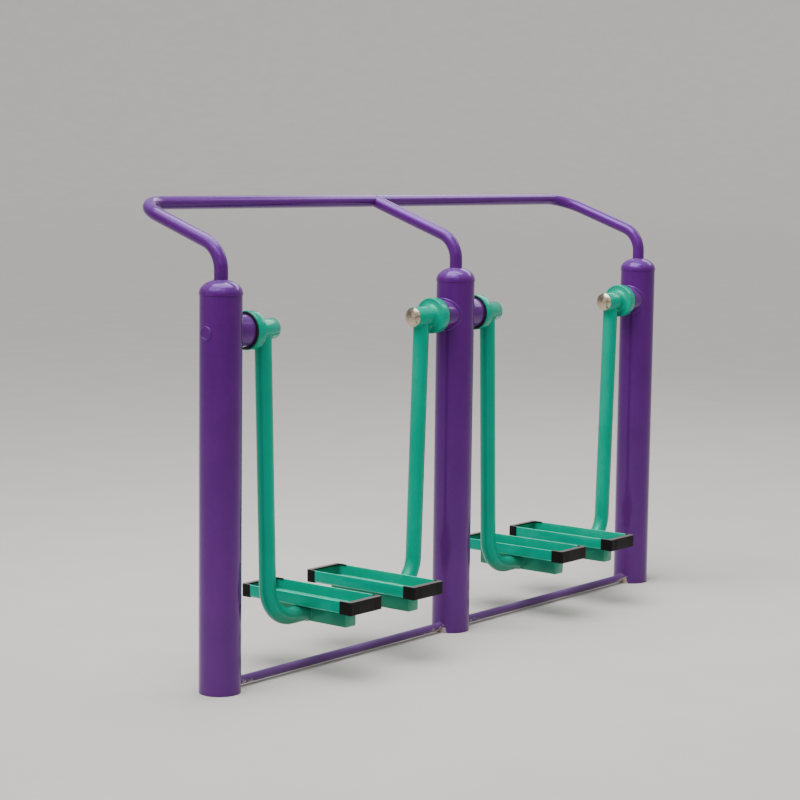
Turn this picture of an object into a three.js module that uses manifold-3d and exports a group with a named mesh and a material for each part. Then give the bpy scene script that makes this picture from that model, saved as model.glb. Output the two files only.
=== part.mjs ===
import * as THREE from "three";
import { mergeVertices } from "three/addons/utils/BufferGeometryUtils.js";
import Module from "manifold-3d";

const wasm = await Module();
wasm.setup();

// Frame: millimetres, +Z up, posts in a line along X, handrail on the +Y side, ground at Z = 0

// Posts and their caps
const postSpacing = 1015;
const postDiameter = 114;
const postWall = 4;
const postHeight = 1063;
const postFootThickness = 8;
const postCapDiameter = 117;
const postCapHeight = 40;
const postCapBand = 3;
const postCapWall = 4;

// Handrail
const railDiameter = 38;
const railWall = 2.5;
const railSocketDepth = 16;
const railReach = 317;
const railKneeRise = 121;
const railRise = 112;
const railKneeBend = 80;
const railCornerBend = 90;

// Tie bars
const tieDiameter = 24;
const tieHeight = 18;

// Hubs, measured along their axis from the centre of the post
const hubDrop = 98;
const housingDiameter = 89;
const housingWall = 4;
const housingReach = 89;
const sealDiameter = 102;
const sealThickness = 3.6;
const sealSpigot = 7;
const flangeDiameter = 106;
const flangeThickness = 30;
const flangeEdge = 2;
const flangeFillet = 7;
const sleeveDiameter = 58;
const sleeveReach = 203;
const bearingBore = 25;
const bearingDiameter = 52;
const bearingWidth = 15;
const bearingSetback = 3.5;
const bearingShoulder = 4;
const sleeveEndPocket = 25;
const axleDiameter = 38;
const axleShoulderDiameter = 32;
const axleNoseDiameter = 20;
const axleProud = 2;
const nutAcrossFlats = 30;
const nutLength = 16;
const nutCollarDiameter = 37;
const nutCollarLength = 3;
const axleNosePastNut = 2;
const hubCapEdge = 0.8;
const hubCapRise = 8;
const hubCapWall = 3;
const hubCapSpigot = 5;

// Swing arms
const armDiameter = 47;
const armWall = 3;
const armOffset = 163;
const armSplay = 27;
const armBend = 95;

// Treads, measured from the middle of a station to the middle of the tread
const treadOffset = 139;
const treadLength = 405;
const treadWidth = 136;
const treadTop = 222;
const treadHeight = 35;
const treadSheet = 2.5;
const treadRim = 9;
const treadRecess = 5;
const treadLowerCorner = 6;
const treadRimCorner = 3;
const footBarWidth = 45;
const footBarDepth = 49;
const footBarLength = 290;
const footBarWall = 3;
const footBarCorner = 5;
const endCapWall = 1.2;
const endCapEnd = 5;
const endCapWrap = 42;
const endCapLip = 12;
const endCapCorner = 6;

// Clearances
const weldGap = 0.3;
const pressGap = 0.4;
const runningGap = 0.5;
const seatGap = 0.2;

// Numbers of sides and steps
const postSides = 24;
const hubSides = 16;
const tubeSides = 14;
const bendStep = Math.PI / 12;
const cornerSteps = 3;

// Derived places
const capTop = postHeight + postCapHeight;
const railKneeHeight = postHeight + railKneeRise;
const railHeight = railKneeHeight + railRise;
const hubHeight = postHeight - hubDrop;
const sealStart = housingReach + seatGap;
const sealEnd = sealStart + sealThickness;
const flangeStart = sealEnd + runningGap;
const flangeEnd = flangeStart + flangeThickness;
const bearingInStart = flangeStart + bearingSetback;
const bearingInEnd = bearingInStart + bearingWidth;
const pocketInEnd = bearingInEnd + seatGap;
const pocketOutStart = sleeveReach - sleeveEndPocket - bearingWidth;
const bearingOutStart = pocketOutStart + seatGap;
const bearingOutEnd = bearingOutStart + bearingWidth;
const nutStart = bearingOutEnd + seatGap;
const axleEnd = nutStart + nutLength + axleNosePastNut;
const sleeveBore = bearingDiameter - 2 * bearingShoulder;
const treadBottom = treadTop - treadHeight;
const footBarTop = treadBottom - weldGap;
const legHeight = footBarTop - footBarDepth / 2;
const treadCentre = postSpacing / 2 - treadOffset;
const legEnd = treadCentre - footBarWidth / 2 - weldGap;

// Helpers: solids

function toSolid(geometry) {
  const bare = geometry.clone();
  bare.deleteAttribute("normal");
  bare.deleteAttribute("uv");
  const merged = mergeVertices(bare);
  return new wasm.Manifold(
    new wasm.Mesh({
      numProp: 3,
      vertProperties: merged.attributes.position.array,
      triVerts: new Uint32Array(merged.index.array),
    }),
  );
}

function toGeometry(solid) {
  const mesh = solid.getMesh();
  const geometry = new THREE.BufferGeometry();
  geometry.setAttribute("position", new THREE.BufferAttribute(mesh.vertProperties, 3));
  geometry.setIndex(new THREE.BufferAttribute(mesh.triVerts, 1));
  return geometry;
}

function cut(geometry, ...cutters) {
  let solid = toSolid(geometry);
  for (const cutter of cutters) solid = solid.subtract(toSolid(cutter));
  return toGeometry(solid);
}

function join(geometry, ...others) {
  let solid = toSolid(geometry);
  for (const other of others) solid = solid.add(toSolid(other));
  return toGeometry(solid);
}

// A body turned about Z from pairs of radius and height; a loop off the axis closes on itself
function turned(pairs, sides) {
  const points = pairs.map(([r, z]) => new THREE.Vector2(r, z));
  if (pairs[0][0] > 0) points.push(points[0].clone());
  return new THREE.LatheGeometry(points, sides).rotateX(Math.PI / 2);
}

// The same about X, with places along X in the place of heights
function turnedAlongX(pairs, sides) {
  return turned(pairs, sides).rotateY(Math.PI / 2);
}

function rodAlongX(radius, from, to, sides) {
  return new THREE.CylinderGeometry(radius, radius, to - from, sides)
    .rotateZ(Math.PI / 2)
    .translate((from + to) / 2, 0, 0);
}

function postEnvelope(x) {
  const radius = postDiameter / 2 + weldGap;
  return new THREE.CylinderGeometry(radius, radius, 2 * postHeight, 2 * postSides)
    .rotateX(Math.PI / 2)
    .translate(x, 0, 0);
}

function box(width, depth, height, x, y, z) {
  return new THREE.BoxGeometry(width, depth, height).translate(x, y, z);
}

// Helpers: bent tubes

// Stops along a path of straight runs joined by round bends, one radius per inner corner
function pathStops(corners, radii) {
  const stops = [];
  const add = (point, tangent) => stops.push({ point, tangent });
  const way = (i) => corners[i + 1].clone().sub(corners[i]).normalize();
  add(corners[0].clone(), way(0));
  radii.forEach((radius, i) => {
    const into = way(i);
    const out = way(i + 1);
    const turn = into.angleTo(out);
    const axis = new THREE.Vector3().crossVectors(into, out).normalize();
    const start = corners[i + 1].clone().addScaledVector(into, -radius * Math.tan(turn / 2));
    const side = new THREE.Vector3().crossVectors(axis, into);
    const centre = start.clone().addScaledVector(side, radius);
    const steps = Math.ceil(turn / bendStep);
    for (let s = 0; s <= steps; s += 1) {
      const angle = (turn * s) / steps;
      const arm = start.clone().sub(centre).applyAxisAngle(axis, angle);
      add(centre.clone().add(arm), into.clone().applyAxisAngle(axis, angle));
    }
  });
  add(corners[corners.length - 1].clone(), way(corners.length - 2));
  return stops;
}

// A tube with flat open ends along such a path
function bentTube(diameter, wall, corners, radii) {
  const stops = pathStops(corners, radii);
  const rings = [diameter / 2, diameter / 2 - wall];
  const positions = [];
  const index = [];
  let normal = new THREE.Vector3(0, 1, 0);
  if (Math.abs(stops[0].tangent.y) > Math.SQRT1_2) normal = new THREE.Vector3(1, 0, 0);
  normal.addScaledVector(stops[0].tangent, -normal.dot(stops[0].tangent)).normalize();
  stops.forEach(({ point, tangent }, i) => {
    if (i > 0) {
      const before = stops[i - 1].tangent;
      normal.applyQuaternion(new THREE.Quaternion().setFromUnitVectors(before, tangent));
    }
    const binormal = new THREE.Vector3().crossVectors(tangent, normal);
    for (const radius of rings) {
      for (let k = 0; k < tubeSides; k += 1) {
        const angle = (2 * Math.PI * k) / tubeSides;
        const p = point.clone().addScaledVector(normal, radius * Math.cos(angle));
        p.addScaledVector(binormal, radius * Math.sin(angle));
        positions.push(p.x, p.y, p.z);
      }
    }
  });
  const at = (stop, ring, k) => (2 * stop + ring) * tubeSides + (k % tubeSides);
  const quad = (a, b, c, d) => index.push(a, b, c, a, c, d);
  const last = stops.length - 1;
  for (let k = 0; k < tubeSides; k += 1) {
    for (let i = 0; i < last; i += 1) {
      quad(at(i, 0, k), at(i, 0, k + 1), at(i + 1, 0, k + 1), at(i + 1, 0, k));
      quad(at(i, 1, k + 1), at(i, 1, k), at(i + 1, 1, k), at(i + 1, 1, k + 1));
    }
    quad(at(0, 0, k + 1), at(0, 0, k), at(0, 1, k), at(0, 1, k + 1));
    quad(at(last, 0, k), at(last, 0, k + 1), at(last, 1, k + 1), at(last, 1, k));
  }
  const geometry = new THREE.BufferGeometry();
  geometry.setAttribute("position", new THREE.Float32BufferAttribute(positions, 3));
  geometry.setIndex(index);
  return geometry;
}

// Helpers: outlines

// A closed outline from corners given as x, y and the radius of the rounding
function roundedLoop(corners) {
  const count = corners.length;
  const points = [];
  corners.forEach(([x, y, radius], i) => {
    const here = new THREE.Vector2(x, y);
    if (!radius) {
      points.push(here);
      return;
    }
    const [px, py] = corners[(i + count - 1) % count];
    const [nx, ny] = corners[(i + 1) % count];
    const back = new THREE.Vector2(px, py).sub(here).normalize().multiplyScalar(radius);
    const ahead = new THREE.Vector2(nx, ny).sub(here).normalize().multiplyScalar(radius);
    const centre = here.clone().add(back).add(ahead);
    for (let s = 0; s <= cornerSteps; s += 1) {
      const angle = (Math.PI / 2) * (s / cornerSteps);
      const p = centre.clone().addScaledVector(ahead, -Math.cos(angle));
      points.push(p.addScaledVector(back, -Math.sin(angle)));
    }
  });
  return points;
}

// An outline drawn in X and Z, drawn out along Y between two places
function drawnAlongY(outline, holes, from, to) {
  const shape = new THREE.Shape(outline);
  shape.holes = holes.map((hole) => new THREE.Path(hole));
  return new THREE.ExtrudeGeometry(shape, { depth: to - from, bevelEnabled: false })
    .rotateX(Math.PI / 2)
    .translate(0, to, 0);
}

function drawnAlongZ(outline, from, to) {
  return new THREE.ExtrudeGeometry(new THREE.Shape(outline), {
    depth: to - from,
    bevelEnabled: false,
  }).translate(0, 0, from);
}

// Posts: closed at the foot, open under the cap, drilled across for the axle
function makePost(x) {
  const radius = postDiameter / 2;
  const bore = radius - postWall;
  const tube = turned(
    [
      [0, 0],
      [radius, 0],
      [radius, postHeight],
      [bore, postHeight],
      [bore, postFootThickness],
      [0, postFootThickness],
    ],
    postSides,
  );
  const hole = axleDiameter / 2 + pressGap;
  const drill = rodAlongX(hole, -postDiameter, postDiameter, hubSides).translate(0, 0, hubHeight);
  return cut(tube, drill).translate(x, 0, 0);
}

// Domed cap: an upright band, a rounded shoulder and a socket for the rail
function makePostCap(x) {
  const radius = postCapDiameter / 2;
  const socket = railDiameter / 2 + pressGap;
  const shoulderShares = [
    [0.97, 0.06],
    [0.92, 0.32],
    [0.78, 0.64],
    [0.56, 0.88],
  ];
  const rise = postCapHeight - postCapBand;
  const outer = shoulderShares.map(([r, z]) => [radius * r, postCapBand + rise * z]);
  const lift = rise - postCapWall;
  const inner = shoulderShares.map(([r, z]) => [(radius - postCapWall) * r, postCapBand + lift * z]);
  const profile = [
    [radius - postCapWall, seatGap],
    [radius, seatGap],
    [radius, postCapBand],
    ...outer,
    [socket, postCapHeight],
    [socket, postCapHeight - postCapWall],
    ...inner.reverse(),
  ];
  return turned(profile, postSides).translate(x, 0, postHeight);
}

// Handrail: stub, knee, inclined run, corner, long bar, and back down on the far side
const railFoot = capTop - railSocketDepth;
const railAt = (x, y, z) => new THREE.Vector3(x, y, z);

function makeHandrail() {
  const corners = [
    railAt(-postSpacing, 0, railFoot),
    railAt(-postSpacing, 0, railKneeHeight),
    railAt(-postSpacing, railReach, railHeight),
    railAt(postSpacing, railReach, railHeight),
    railAt(postSpacing, 0, railKneeHeight),
    railAt(postSpacing, 0, railFoot),
  ];
  const radii = [railKneeBend, railCornerBend, railCornerBend, railKneeBend];
  return bentTube(railDiameter, railWall, corners, radii);
}

// Middle run of the rail, coped to the long bar
function makeRailBrace() {
  const corners = [
    railAt(0, 0, railFoot),
    railAt(0, 0, railKneeHeight),
    railAt(0, railReach, railHeight),
  ];
  const brace = bentTube(railDiameter, railWall, corners, [railKneeBend]);
  const coping = rodAlongX(railDiameter / 2 + weldGap, -railDiameter, railDiameter, 2 * tubeSides);
  return cut(brace, coping.translate(0, railReach, railHeight));
}

function makeTieBar(from, to) {
  const bar = rodAlongX(tieDiameter / 2, from, to, tubeSides).translate(0, 0, tieHeight);
  return cut(bar, postEnvelope(from), postEnvelope(to));
}

// Hub pieces, each along +X from the centre of its post

function makeHousing() {
  const radius = housingDiameter / 2;
  const bore = radius - housingWall;
  const ring = turnedAlongX(
    [
      [bore, 0],
      [radius, 0],
      [radius, housingReach],
      [bore, housingReach],
    ],
    hubSides,
  );
  return cut(ring, postEnvelope(0));
}

function makeSeal() {
  const spigot = housingDiameter / 2 - housingWall - pressGap;
  const bore = axleDiameter / 2 + pressGap;
  return turnedAlongX(
    [
      [bore, sealStart - sealSpigot],
      [spigot, sealStart - sealSpigot],
      [spigot, sealStart],
      [sealDiameter / 2, sealStart],
      [sealDiameter / 2, sealEnd],
      [bore, sealEnd],
    ],
    hubSides,
  );
}

// Axle steps from its thick root to its nose, as pairs of radius and place
const axleSteps = [
  [axleDiameter / 2, sealEnd],
  [axleShoulderDiameter / 2, sealEnd],
  [axleShoulderDiameter / 2, bearingInStart - seatGap],
  [bearingBore / 2, bearingInStart - seatGap],
  [bearingBore / 2, bearingOutEnd],
  [axleNoseDiameter / 2, bearingOutEnd],
  [axleNoseDiameter / 2, axleEnd],
];

function makeOuterAxle() {
  const start = -postDiameter / 2 - axleProud;
  return turnedAlongX([[0, start], [axleDiameter / 2, start], ...axleSteps, [0, axleEnd]], hubSides);
}

function hexAlongX(from, to) {
  return rodAlongX(nutAcrossFlats / Math.sqrt(3), from, to, 6);
}

function collarAlongX(from, to) {
  return rodAlongX(nutCollarDiameter / 2, from, to, hubSides);
}

// The long axle has a bolt head on one end and takes a nut on the other
function makeMiddleAxle() {
  const mirrored = axleSteps.map(([r, x]) => [r, -x]).reverse();
  const shaft = turnedAlongX([[0, -axleEnd], ...mirrored, ...axleSteps, [0, axleEnd]], hubSides);
  const collar = collarAlongX(-nutStart - nutCollarLength, -nutStart);
  return join(shaft, hexAlongX(-nutStart - nutLength, -nutStart), collar);
}

function makeNut() {
  const hex = hexAlongX(nutStart, nutStart + nutLength);
  const whole = join(hex, collarAlongX(nutStart, nutStart + nutCollarLength));
  const bore = rodAlongX(axleNoseDiameter / 2 + pressGap, 0, sleeveReach, hubSides);
  return cut(whole, bore);
}

function makeBearing(start) {
  const bore = (bearingBore / 2 + seatGap) / Math.cos(Math.PI / hubSides);
  const rim = bearingDiameter / 2 - pressGap;
  return turnedAlongX(
    [
      [bore, start],
      [rim, start],
      [rim, start + bearingWidth],
      [bore, start + bearingWidth],
    ],
    hubSides,
  );
}

// Flange and sleeve in one piece, bored from both ends for the bearings
function makeSleeve() {
  const flange = flangeDiameter / 2;
  const sleeve = sleeveDiameter / 2;
  const pocket = bearingDiameter / 2;
  return turnedAlongX(
    [
      [pocket, flangeStart],
      [flange - flangeEdge, flangeStart],
      [flange, flangeStart + flangeEdge],
      [flange, flangeEnd - flangeEdge],
      [flange - flangeEdge, flangeEnd],
      [sleeve + flangeFillet, flangeEnd],
      [sleeve + flangeFillet / 3, flangeEnd + flangeFillet / 3],
      [sleeve, flangeEnd + flangeFillet],
      [sleeve, sleeveReach],
      [pocket, sleeveReach],
      [pocket, pocketOutStart],
      [sleeveBore / 2, pocketOutStart],
      [sleeveBore / 2, pocketInEnd],
      [pocket, pocketInEnd],
    ],
    hubSides,
  );
}

// Domed steel cap on the end of the sleeve
function makeHubCap() {
  const rim = sleeveDiameter / 2;
  const spigot = bearingDiameter / 2 - pressGap;
  const start = sleeveReach + seatGap;
  const edge = start + hubCapEdge;
  const domeShares = [
    [0.86, 0.46],
    [0.52, 0.84],
  ];
  const dome = domeShares.map(([r, x]) => [rim * r, edge + hubCapRise * x]);
  const hollow = domeShares.map(([r, x]) => [(spigot - hubCapWall) * r, start + hubCapRise * x]);
  return turnedAlongX(
    [
      [0, start + hubCapRise],
      ...hollow.reverse(),
      [spigot - hubCapWall, start - hubCapSpigot],
      [spigot, start - hubCapSpigot],
      [spigot, start],
      [rim, start],
      [rim, edge],
      ...dome,
      [0, edge + hubCapRise],
    ],
    hubSides,
  );
}

// Swing arm: coped under the sleeve, splayed towards the station, bent under the tread
function makeArm() {
  const corners = [
    new THREE.Vector3(armOffset, 0, hubHeight),
    new THREE.Vector3(armOffset + armSplay, 0, legHeight),
    new THREE.Vector3(legEnd, 0, legHeight),
  ];
  const tube = bentTube(armDiameter, armWall, corners, [armBend]);
  const coping = rodAlongX(sleeveDiameter / 2 + weldGap, 0, 2 * armOffset, 2 * hubSides);
  return cut(tube, coping.translate(0, 0, hubHeight));
}

// Square bar under the tread: closed ends, open only where the arm's bore meets it
function makeFootBar() {
  const w = footBarWidth / 2;
  const half = footBarLength / 2;
  const bottom = footBarTop - footBarDepth;
  const outline = roundedLoop([
    [-w, bottom, footBarCorner],
    [w, bottom, footBarCorner],
    [w, footBarTop, footBarCorner],
    [-w, footBarTop, footBarCorner],
  ]);
  const hollow = box(
    footBarWidth - 2 * footBarWall,
    footBarLength - 2 * footBarWall,
    footBarDepth - 2 * footBarWall,
    0,
    0,
    legHeight,
  );
  const mouth = rodAlongX(armDiameter / 2 - armWall, -footBarWidth, 0, tubeSides);
  return cut(drawnAlongY(outline, [], -half, half), hollow, mouth.translate(0, 0, legHeight)).translate(
    treadCentre,
    0,
    0,
  );
}

// The tread's section in X and Z, with both rims and the recess between them
function treadOutline(grow) {
  const w = treadWidth / 2 - endCapWall + grow;
  const top = treadTop + grow;
  const bottom = treadBottom - grow;
  const rim = w - treadRim - 2 * grow;
  const floor = treadTop - treadRecess + grow;
  return roundedLoop([
    [-w, bottom, treadLowerCorner],
    [w, bottom, treadLowerCorner],
    [w, top, treadRimCorner],
    [rim, top, treadRimCorner],
    [rim, floor, 0],
    [-rim, floor, 0],
    [-rim, top, treadRimCorner],
    [-w, top, treadRimCorner],
  ]);
}

function treadHollow() {
  const w = treadWidth / 2 - endCapWall - treadSheet;
  const rim = treadWidth / 2 - endCapWall - treadRim + treadSheet;
  const top = treadTop - treadSheet;
  const bottom = treadBottom + treadSheet;
  const floor = treadTop - treadRecess - treadSheet;
  return [
    [-w, bottom],
    [-w, top],
    [-rim, top],
    [-rim, floor],
    [rim, floor],
    [rim, top],
    [w, top],
    [w, bottom],
  ].map(([x, y]) => new THREE.Vector2(x, y));
}

const sheetHalf = treadLength / 2 - endCapEnd - seatGap;

function makeTread() {
  return drawnAlongY(treadOutline(0), [treadHollow()], -sheetHalf, sheetHalf).translate(treadCentre, 0, 0);
}

// End cap on the +Y end: an end wall, a short lip on top, long cheeks and sole
function makeEndCap() {
  const w = treadWidth / 2;
  const end = treadLength / 2;
  const start = end - endCapEnd - endCapWrap;
  const plan = roundedLoop([
    [-w, start, 0],
    [w, start, 0],
    [w, end, endCapCorner],
    [-w, end, endCapCorner],
  ]);
  const block = drawnAlongZ(plan, treadBottom - endCapWall, treadTop + endCapWall);
  const room = drawnAlongY(treadOutline(seatGap), [], start - endCapEnd, end - endCapEnd);
  const openTop = box(
    treadWidth - 4 * treadRimCorner,
    endCapWrap - endCapLip,
    treadHeight,
    0,
    start + (endCapWrap - endCapLip) / 2 - seatGap,
    treadTop,
  );
  return cut(block, room, openTop).translate(treadCentre, 0, 0);
}

// Assembly

const root = new THREE.Group();
root.name = "air_walker";

const paints = {
  purple_gloss_paint: { color: 0x4b2c70, metalness: 0, roughness: 0.25 },
  green_gloss_paint: { color: 0x009678, metalness: 0, roughness: 0.25 },
  polished_steel: { color: 0xb4b0a8, metalness: 1, roughness: 0.2 },
  plain_steel: { color: 0x8d8f92, metalness: 1, roughness: 0.4 },
  black_plastic: { color: 0x1c1a19, metalness: 0, roughness: 0.5 },
  black_rubber: { color: 0x151515, metalness: 0, roughness: 0.8 },
};

function place(name, slot, geometry) {
  const material = new THREE.MeshStandardMaterial(paints[slot]);
  material.name = slot;
  geometry.computeVertexNormals();
  const mesh = new THREE.Mesh(geometry, material);
  mesh.name = name;
  root.add(mesh);
}

const posts = { left: -postSpacing, middle: 0, right: postSpacing };
for (const [side, x] of Object.entries(posts)) {
  place("post_" + side, "purple_gloss_paint", makePost(x));
  place("post_cap_" + side, "purple_gloss_paint", makePostCap(x));
}
place("handrail", "purple_gloss_paint", makeHandrail());
place("rail_brace", "purple_gloss_paint", makeRailBrace());
place("tie_bar_left", "purple_gloss_paint", makeTieBar(-postSpacing, 0));
place("tie_bar_right", "purple_gloss_paint", makeTieBar(0, postSpacing));

// The four hubs from left to right, each on a post and facing the middle of its station
const hubs = [
  { number: 1, x: -postSpacing, turn: 0 },
  { number: 2, x: 0, turn: Math.PI },
  { number: 3, x: 0, turn: 0 },
  { number: 4, x: postSpacing, turn: Math.PI },
];
const atHub = ({ x, turn }, geometry) => geometry.rotateZ(turn).translate(x, 0, hubHeight);
const atPost = ({ x, turn }, geometry) => geometry.rotateZ(turn).translate(x, 0, 0);

for (const hub of hubs) {
  const tag = "_" + hub.number;
  place("hub_housing" + tag, "purple_gloss_paint", atHub(hub, makeHousing()));
  place("dust_seal" + tag, "black_rubber", atHub(hub, makeSeal()));
  place("hub_sleeve" + tag, "green_gloss_paint", atHub(hub, makeSleeve()));
  place("bearing_in" + tag, "plain_steel", atHub(hub, makeBearing(bearingInStart)));
  place("bearing_out" + tag, "plain_steel", atHub(hub, makeBearing(bearingOutStart)));
  place("hub_cap" + tag, "polished_steel", atHub(hub, makeHubCap()));
  place("swing_arm" + tag, "green_gloss_paint", atPost(hub, makeArm()));
  place("foot_bar" + tag, "green_gloss_paint", atPost(hub, makeFootBar()));
  place("tread" + tag, "green_gloss_paint", atPost(hub, makeTread()));
  const far = makeEndCap();
  const near = makeEndCap().translate(-treadCentre, 0, 0).rotateZ(Math.PI).translate(treadCentre, 0, 0);
  const order = hub.turn ? ["near", "far"] : ["far", "near"];
  place("end_cap_" + order[0] + tag, "black_plastic", atPost(hub, far));
  place("end_cap_" + order[1] + tag, "black_plastic", atPost(hub, near));
}

place("axle_left", "plain_steel", atHub(hubs[0], makeOuterAxle()));
place("axle_middle", "plain_steel", atHub(hubs[2], makeMiddleAxle()));
place("axle_right", "plain_steel", atHub(hubs[3], makeOuterAxle()));
place("axle_nut_left", "plain_steel", atHub(hubs[0], makeNut()));
place("axle_nut_middle", "plain_steel", atHub(hubs[2], makeNut()));
place("axle_nut_right", "plain_steel", atHub(hubs[3], makeNut()));

export default root;
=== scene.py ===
# %% [markdown]
# # An outdoor air walker, dressed for its photograph
# The CAD model gives the place and size of every piece, in metres: posts in a line along X,
# the handrail on the +Y side and the ground at Z = 0. This lesson models the pieces again with
# rounder tubes, open trays, welds and small hardware, paints them, and lights them for the camera.

# %% Load the CAD model
import math
import bmesh
import bpy
from mathutils import Matrix, Vector


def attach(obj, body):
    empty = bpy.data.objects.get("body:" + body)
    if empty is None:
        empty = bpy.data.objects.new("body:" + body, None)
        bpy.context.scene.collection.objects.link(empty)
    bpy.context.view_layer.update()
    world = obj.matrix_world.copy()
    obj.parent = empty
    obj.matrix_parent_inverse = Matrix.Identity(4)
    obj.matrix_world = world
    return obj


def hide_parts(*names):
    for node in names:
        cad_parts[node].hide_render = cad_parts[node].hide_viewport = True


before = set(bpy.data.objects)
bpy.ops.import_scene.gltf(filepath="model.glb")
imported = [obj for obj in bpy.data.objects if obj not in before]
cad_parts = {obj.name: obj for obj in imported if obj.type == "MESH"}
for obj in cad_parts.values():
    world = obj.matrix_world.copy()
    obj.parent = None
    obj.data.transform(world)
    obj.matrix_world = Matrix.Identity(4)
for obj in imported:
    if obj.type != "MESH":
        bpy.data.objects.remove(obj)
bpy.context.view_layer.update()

# %% [markdown]
# ## Habits for every piece
# A primitive is named and opened in edit mode, its faces or edges are picked by where they are,
# and it is closed again: doubles merged, open ends plugged, normals facing out. A few short
# functions keep those habits, so that each later cell shows only the shaping. Places that are
# compared may be off by a hair, because edit mode stores them in single precision.

# %% Open, pick and close
X_AXIS, Y_AXIS, Z_AXIS = Vector((1, 0, 0)), Vector((0, 1, 0)), Vector((0, 0, 1))
HAIR = 0.0001


def open_piece(name):
    """Name the new primitive, put its place into its mesh and select all of it in edit mode."""
    piece = bpy.context.object
    piece.name = piece.data.name = name
    bpy.ops.object.transform_apply()
    bpy.ops.object.mode_set(mode="EDIT")
    bpy.ops.mesh.select_all(action="SELECT")
    return piece


def pick(kind, test):
    """Select each face or edge whose middle and normal (or direction) pass the test."""
    bpy.ops.mesh.select_mode(type=kind)
    bpy.ops.mesh.select_all(action="DESELECT")
    mesh = bmesh.from_edit_mesh(bpy.context.object.data)
    for part in mesh.faces if kind == "FACE" else mesh.edges:
        if kind == "FACE":
            part.select = test(part.calc_center_median(), part.normal)
        else:
            a, b = part.verts[0].co, part.verts[1].co
            part.select = test((a + b) / 2, (b - a).normalized())
    mesh.select_flush_mode()
    bmesh.update_edit_mesh(bpy.context.object.data)


def close_piece(smooth=35, plugged=True):
    """Merge doubles, plug open ends unless they are wanted, and turn all faces outwards."""
    bpy.ops.mesh.select_all(action="SELECT")
    bpy.ops.mesh.remove_doubles(threshold=0.00002)
    if plugged:
        bpy.ops.mesh.fill_holes(sides=0)
        bpy.ops.mesh.select_all(action="SELECT")
    bpy.ops.mesh.normals_make_consistent(inside=False)
    bpy.ops.object.mode_set(mode="OBJECT")
    bpy.ops.object.shade_smooth_by_angle(angle=math.radians(smooth))
    return bpy.context.object


def select_only(*pieces):
    """Deselect everything, then select these; the first of them becomes the active one."""
    bpy.ops.object.select_all(action="DESELECT")
    for piece in reversed(pieces):
        piece.select_set(True)
        bpy.context.view_layer.objects.active = piece


def modify(piece, kind, **settings):
    """Add a modifier with its settings and apply it at once."""
    select_only(piece)
    modifier = piece.modifiers.new(kind.lower(), kind)
    for key, value in settings.items():
        setattr(modifier, key, value)
    bpy.ops.object.modifier_apply(modifier=modifier.name)


def extrude(step):
    bpy.ops.mesh.extrude_region_move(TRANSFORM_OT_translate={"value": step})


print("places may be off by", HAIR * 1000, "mm")

# %% [markdown]
# ## Turned pieces
# Caps, flanges, sleeves and seals are round about one axis. On a lathe a profile is cut along
# the axis. A Screw modifier could turn a profile too; here a ring of edges is extruded from
# station to station and scaled to each radius, which leaves clean quads all round and needs no
# profile object. A profile that returns to its first station gives a closed wall.

# %% A ring extruded along a profile
POLE = 0.0005


def turn_profile(name, centre, axis, profile, sides=64):
    """The profile is a list of (distance along the axis, radius)."""
    select_only()
    place, radius = profile[0]
    bpy.ops.mesh.primitive_circle_add(
        vertices=sides,
        radius=radius,
        location=centre + axis * place,
        rotation=axis.to_track_quat("Z", "Y").to_euler(),
    )
    piece = open_piece(name)
    for next_place, next_radius in profile[1:]:
        extrude(axis * (next_place - place))
        share = next_radius / radius
        middle = centre + axis * next_place
        bpy.ops.transform.resize(value=(share, share, share), center_override=middle)
        place, radius = next_place, next_radius
    if radius < POLE:
        bpy.ops.mesh.merge(type="CENTER")
    return piece


print("a last ring under", POLE * 1000, "mm is merged to a point")

# %% [markdown]
# ## Bent tubes
# The rail and the arms are straight tube bent on a machine around a round former. A bevelled
# curve would make a tube as well, but its bends are only near to round. Here a ring is extruded
# along each straight run and spun about the middle of each bend, as on the machine, so every
# bend has the exact radius of the CAD model.

# %% A ring extruded along runs and spun round bends
TUBE_SIDES, SPIN_STEP = 40, 6


def bend_tube(name, radius, corners, bends):
    select_only()
    heading = (corners[1] - corners[0]).normalized()
    bpy.ops.mesh.primitive_circle_add(
        vertices=TUBE_SIDES,
        radius=radius,
        location=corners[0],
        rotation=heading.to_track_quat("Z", "Y").to_euler(),
    )
    piece = open_piece(name)
    here = corners[0]
    for corner, beyond, bend in zip(corners[1:], corners[2:], bends):
        ahead = (beyond - corner).normalized()
        turn = heading.angle(ahead)
        axis = heading.cross(ahead).normalized()
        reach = bend * math.tan(turn / 2)
        begin = corner - heading * reach
        extrude(begin - here)
        middle = begin + axis.cross(heading) * bend
        steps = math.ceil(math.degrees(turn) / SPIN_STEP)
        bpy.ops.mesh.spin(steps=steps, angle=-turn, center=middle, axis=axis)
        here, heading = corner + ahead * reach, ahead
    extrude(corners[-1] - here)
    return piece


print("one ring for each", SPIN_STEP, "degrees of bend")

# %% [markdown]
# ## Paint and metal
# One function turns an sRGB hex value to linear, and one adds any node with its settings and
# links. Inputs are given by name, or as a list in the order in which the node shows them. Every
# pattern takes Object coordinates in metres, so its scale can be worked out from a real size: a
# noise of scale 1000 has features of about a millimetre.

# %% Colour and node functions
def linear(code):
    channels = [int(code[i : i + 2], 16) / 255 for i in (1, 3, 5)]
    shares = [c / 12.92 if c <= 0.04045 else ((c + 0.055) / 1.055) ** 2.4 for c in channels]
    return (*shares, 1.0)


def feed(made, inputs):
    """Give inputs a value or a link, by name or in the order in which they are shown."""
    shown = [socket for socket in made.inputs if socket.enabled]
    for key, value in inputs.items() if isinstance(inputs, dict) else enumerate(inputs):
        socket = made.inputs[key] if isinstance(key, str) else shown[key]
        if isinstance(value, bpy.types.NodeSocket):
            made.id_data.links.new(value, socket)
        else:
            socket.default_value = value


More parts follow.
